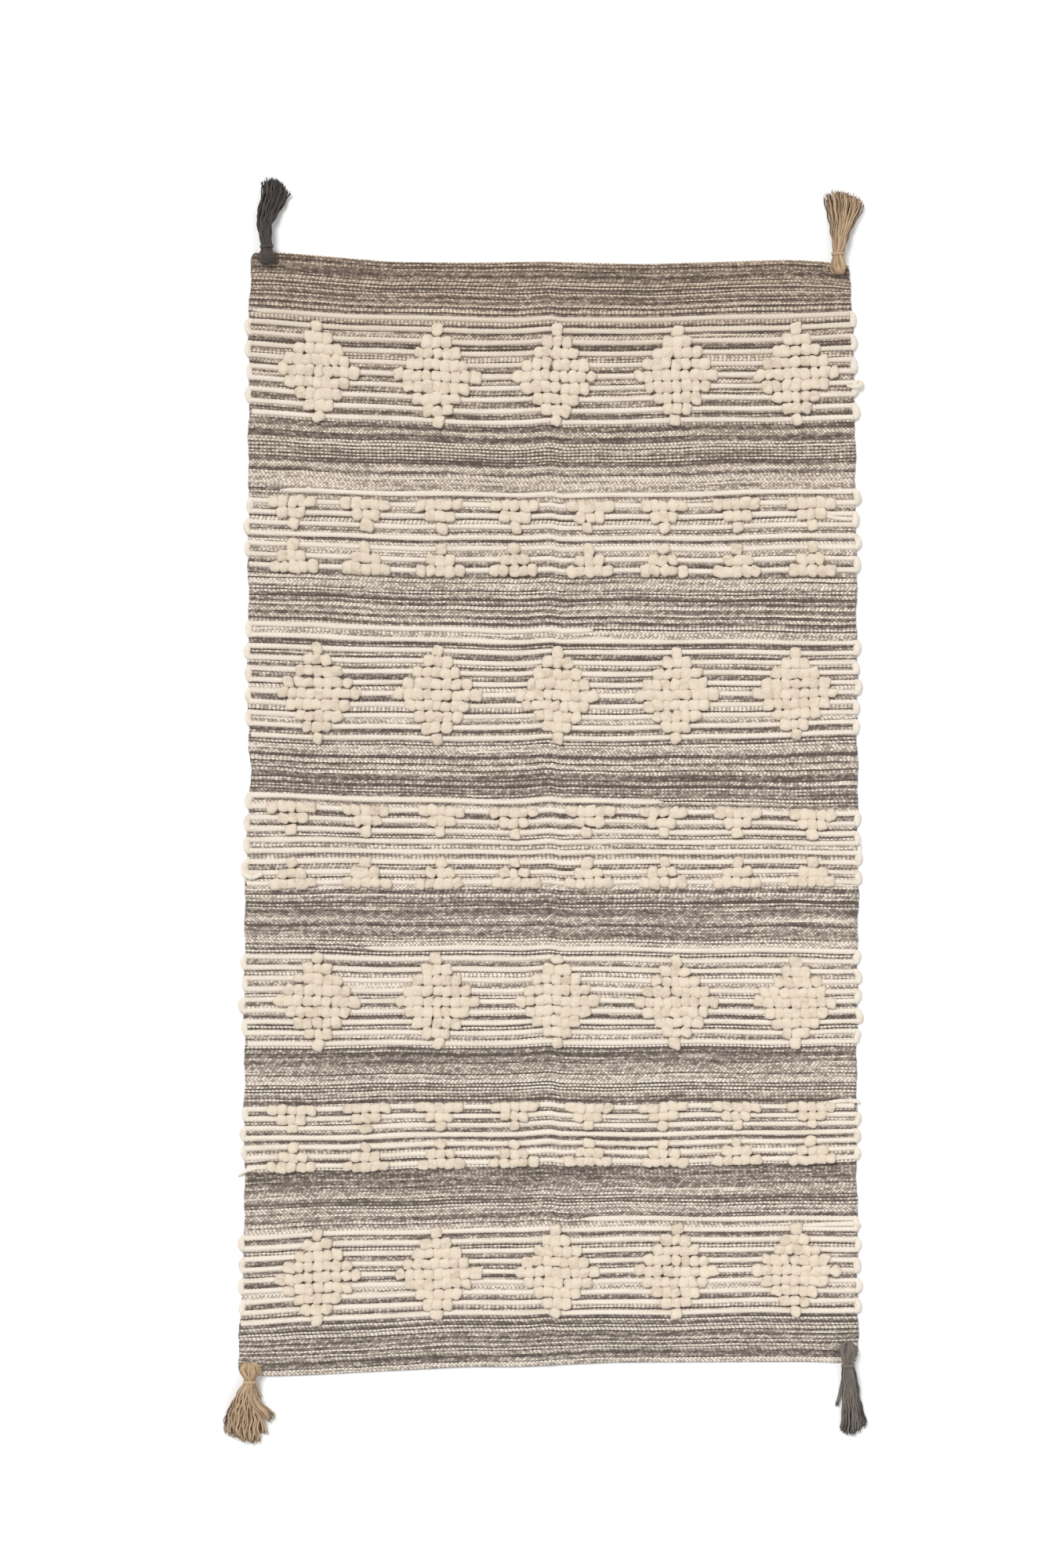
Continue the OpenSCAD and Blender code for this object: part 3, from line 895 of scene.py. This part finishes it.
def skirt_strand(tassel, across, up):
    """Path of one strand from the binding to its cut end. across and up, from -1 to 1, are
    its place in the bundle."""
    skirt_from = tassel["neck"] + WRAP_L
    length = tassel["length"] * np.interp(across, TIP_AT, tassel["tips"]) * rng.uniform(0.93, 1)
    t = np.linspace(0, 1, 60)
    share = t * length / tassel["length"]
    along = skirt_from - 2 + (length + 2) * t
    middle = np.interp(share, SKIRT_AT, tassel["middle"])
    half = np.interp(share, SKIRT_AT, tassel["half"]) - STRAND_R
    thick = NECK_R + (SKIRT_HALF_T - NECK_R) * t - STRAND_R
    drop = (TIE_Z - 0.5 - SKIRT_HALF_T) * smooth(
        (along - SKIRT_SINKS[0]) / (SKIRT_SINKS[1] - SKIRT_SINKS[0]))
    wave = tassel["wave"] * np.minimum(1, 4 * t)
    phase = rng.uniform(0, 6.3, 4)      # the last is spare
    pace = rng.uniform(0.2, 0.36, 2)
    sway = wave * (0.9 * np.sin(along * pace[0] + phase[0]) + 1.3 * t * np.sin(4 * t + phase[1]))
    heave = 0.7 * wave * np.sin(along * pace[1] + phase[2])
    x = middle + across * half + sway
    z = up * thick - drop + heave
    return on_floor(np.stack([x, along, z], axis=-1))


def frayed_strand(mesh, to_rug, path, radius, depth=0.2):
    """A strand whose cut end opens into its plies. depth sets how much painted shade it takes, and its
    plies take a middling amount.
    """
    path = rounded(path)
    tube(mesh, to_rug(path), radius, 8, twist=9, depth=0.15, at=anywhere(depth))
    tail = path[-7:]
    run = np.linspace(0, 1, len(tail))[:, None]
    for _ in range(3):
        open_to = rng.normal(0, 1.3, 3) + 0.9 * (tail[-1] - tail[0]) / 7
        open_to[2] = abs(open_to[2]) * 0.6
        ply = on_floor(tail + run ** 2 * open_to + rng.normal(0, 0.3, 3))
        tube(mesh, to_rug(ply), radius * 0.55 * (1 - 0.4 * run[:, 0]), 6, at=anywhere(0.5))


def make_skirt(tassel, to_rug):
    """The skirt's strands, spread evenly over the bundle, and the loose locks."""
    mesh = Mesh()
    golden = math.pi * (3 - math.sqrt(5))
    count = tassel["strands"]
    for k in range(count):
        reach = ((k + 0.5) / count) ** 0.45
        turn = k * golden
        up = reach * math.sin(turn)
        path = skirt_strand(tassel, reach * math.cos(turn), up)
        # Painted shade: strands low in the bundle are given more depth and so are darker; those on top
        # are lighter.
        frayed_strand(mesh, to_rug, path, STRAND_R * rng.uniform(0.65, 1.0), 0.6 - 0.7 * up)
    for path in loose_locks(tassel):
        frayed_strand(mesh, to_rug, path, STRAND_R * rng.uniform(0.8, 1.0))
    tassel_piece(mesh, "skirt_strands", tassel, "tassel")


# Locks that leave the bundle: the tassel, how many strands, how far apart they lie, and the
# lock's route from its skirt, as (sideways, along, height over the floor).
LOCKS = (
    ("near_left", 26, 6, ((-2, 18, 18), (-6, 36, 14), (-11, 46, 12), (-18, 51, 10), (-24, 60, 6))),
    ("near_left", 12, 5, ((-4, 48, 13), (-9, 54, 12), (-14, 62, 9), (-17, 72, 7), (-17, 80, 5))),
    ("near_left", 5, 1.4, ((-6, 14, 20), (-9, 20, 14), (-10.5, 27, 9), (-11.5, 35, 6))),
    ("near_right", 6, 1.6, ((5, 30, 10), (8, 48, 6), (10, 60, 4), (13, 72, 3))),
)


def loose_locks(tassel):
    """Paths of the strands in a tassel's loose locks."""
    t = np.linspace(0, 1, 36)
    for name, count, apart, route in LOCKS:
        if name != tassel["name"]:
            continue
        spine = np.stack(spread_out(np.array(route) - (0, 0, TIE_Z), len(t)), axis=-1)
        for _ in range(count):
            aside = rng.normal(0, apart / 2, 3)[None] * (0.5 + 0.5 * t[:, None])
            yield on_floor(rounded(spine + aside))


def head_reach(tassel, y):
    """Radius of the folded yarn at a distance y past the tie, as a share of its half width."""
    wide, back, square = tassel["head"]
    end = (1 - np.minimum(1, np.abs(np.minimum(y, 0)) / back) ** square) ** (1 / square)
    neck = 1 + (NECK_R / wide - 1) * smooth((y + 1) / (tassel["neck"] + 1))
    return np.where(y < 0, end, neck)


def make_head(tassel, to_rug):
    """Yarns folded over the tie: a bundle of meridians, tight against a core. Behind the tie
    they keep within a ball round it, so that the head clears the hem as it lifts."""
    mesh = Mesh()
    wide, back, _ = tassel["head"]
    high = TIE_Z - HEAD_LOW
    y = np.concatenate([
        -back * np.cos(np.linspace(0.15, math.pi / 2, 14)),
        np.linspace(1, tassel["neck"] + WRAP_L - 1, 16)])
    reach = head_reach(tassel, y)
    ball = np.where(y < 0, np.sqrt(np.maximum(0, 1 - (y / high) ** 2)), 1)
    for k in range(HEAD_YARNS):
        turn = 2 * math.pi * k / HEAD_YARNS + rng.normal(0, 0.08) + 0.018 * y * rng.normal(0.4, 1)
        bulge = reach * rng.uniform(0.95, 1.03)
        path = np.stack([
            (wide * bulge - STRAND_R) * np.cos(turn), y + rng.normal(0, 0.5),
            (high * np.minimum(bulge, ball) - STRAND_R) * np.sin(turn)], axis=-1)
        # The head's yarns take little painted shade.
        tube(mesh, to_rug(rounded(path)), STRAND_R * rng.uniform(0.8, 1.05), 8, twist=9,
             depth=0.1, at=anywhere(0.1))
    core = np.stack([0 * y, y, 0 * y], axis=-1)
    reach = np.minimum(reach, ball)
    tube(mesh, to_rug(core), np.maximum(reach * high - 1.6, 0.4), 16, at=anywhere())
    tassel_piece(mesh, "head_yarns", tassel, "tassel")


def make_wrap(tassel, to_rug):
    """Turns of thread round the neck."""
    t = np.linspace(0, 1, WRAP_TURNS * 28)
    angle = 2 * math.pi * WRAP_TURNS * t
    radius = NECK_R + 0.75
    path = np.stack([
        radius * np.cos(angle), tassel["neck"] + 0.3 + (WRAP_L - 0.6) * t + 0.5 * np.cos(angle),
        radius * np.sin(angle)], axis=-1)
    mesh = Mesh()
    tube(mesh, to_rug(path), WRAP_R, 8, twist=3, depth=0.15)
    tassel_piece(mesh, "wrap_thread", tassel, "tassel")


def make_tie(tassel, to_rug):
    """Cord through the head, knotted into the cloth on each side of it."""
    down = TIE_Z - KNOT_Z
    t = np.linspace(-1, 1, 41)
    bend = smooth((np.abs(t) - 0.62) / 0.38)
    x = np.sign(t) * TIE_REACH * np.minimum(np.abs(t) / 0.7, 1)
    path = np.stack([x, 0.6 * np.sin(5 * t), -down * bend], axis=-1)
    mesh = Mesh()
    tube(mesh, to_rug(path), TIE_R, 10, twist=6, depth=0.2)
    for side in (-1, 1):
        angle = np.linspace(0, 4 * math.pi, 40)
        knot = np.stack([
            side * TIE_REACH + TIE_R * np.cos(angle), TIE_R * np.sin(angle),
            -down - 0.3 + 0.9 * np.cos(angle / 2)], axis=-1)
        tube(mesh, to_rug(knot), 0.9, 8, twist=5, depth=0.2)
    tassel_piece(mesh, "tie_cord", tassel, "tie")


# ---------------------------------------------------------------- the rug

def make_cloth():
    """The ground and its two hems."""
    ground = make_ground()
    crosses_crease(ground)
    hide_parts("ground_left", "ground_right")
    hems = []
    for name, end in (("far", 1), ("near", -1)):
        hem = make_hem(f"hem_{name}", end)
        crosses_crease(hem)
        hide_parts(f"hem_{name}_left", f"hem_{name}_right")
        hems.append(hem)
    return ground, hems


def make_bands():
    """The rows and loops of every band, and the turns at both edges."""
    pieces = []
    for band in range(len(BANDS)):
        for kind, make, slot in (("rows", make_rows, "thick_weft"),
                                 ("loops", make_loops, "popcorn_loops")):
            piece = make(band)
            crosses_crease(piece)
            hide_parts(f"{kind}_{band + 1}_left", f"{kind}_{band + 1}_right")
            pieces.append(piece)
    for side, half in ((-1, "left"), (1, "right")):
        turns = make_turns(side)
        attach(turns, f"{half}_half")
        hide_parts(f"turns_{half}")
        pieces.append(turns)
    return pieces


ground, hems = make_cloth()
bands = make_bands()
for tassel in TASSELS:
    to_rug = tassel_frame(tassel)
    make_skirt(tassel, to_rug)
    make_head(tassel, to_rug)
    make_wrap(tassel, to_rug)
    make_tie(tassel, to_rug)

# ---------------------------------------------------------------- floor, lights and camera

# Here lengths and places are in metres, and the lens and its sensor in mm.
VIEW_H = 2.051      # height of the field of view on the floor
VIEW_AT = (-0.0385, 0.039)      # the point of the floor below the camera
LENS = 85
SENSOR = 36
FLOOR_SIZE = 60     # so wide that a low view sees no edge of it
SIGHT = 100         # how far the camera sees


def make_floor():
    """A pale matt floor under the rug."""
    bpy.ops.mesh.primitive_plane_add(size=FLOOR_SIZE)
    floor = bpy.context.object
    floor.name = "floor"
    material = bpy.data.materials.new("floor")
    material.use_nodes = True
    shader = material.node_tree.nodes["Principled BSDF"]
    shader.inputs["Base Color"].default_value = (0.93, 0.93, 0.925, 1)
    shader.inputs["Roughness"].default_value = 0.9
    floor.data.materials.append(material)


def add_light(name, kind, energy, at, **settings):
    """A lamp that looks at the middle of the rug."""
    data = bpy.data.lights.new(name, kind)
    data.energy = energy
    for key, value in settings.items():
        setattr(data, key, value)
    lamp = bpy.data.objects.new(name, data)
    lamp.location = at
    aim = -np.array(at, float)
    flat = math.hypot(aim[0], aim[1])
    lamp.rotation_euler = (math.atan2(flat, -aim[2]), 0, math.atan2(-aim[0], aim[1]))
    bpy.context.collection.objects.link(lamp)


def make_lights():
    """A broad key light from the far left, a soft fill from the near right, and a pale sky."""
    add_light("key", "SUN", 2.2, (-1.3, 1.9, 3.9), angle=math.radians(24))
    add_light("fill", "AREA", 30, (1.8, -1.6, 3.0), size=3.0)
    world = bpy.data.worlds.new("studio")
    world.use_nodes = True
    background = world.node_tree.nodes["Background"]
    background.inputs["Color"].default_value = (1, 1, 1, 1)
    background.inputs["Strength"].default_value = 0.55
    bpy.context.scene.world = world


def make_camera():
    """A camera straight above the rug, with the far end at the top of its picture."""
    data = bpy.data.cameras.new("camera")
    data.lens = LENS
    data.sensor_fit = "VERTICAL"
    data.sensor_height = SENSOR
    camera = bpy.data.objects.new("camera", data)
    camera.location = (*VIEW_AT, VIEW_H * LENS / SENSOR)
    data.clip_end = SIGHT
    bpy.context.collection.objects.link(camera)
    bpy.context.scene.camera = camera


make_floor()
make_lights()
make_camera()
bpy.context.scene.view_settings.view_transform = "Standard"
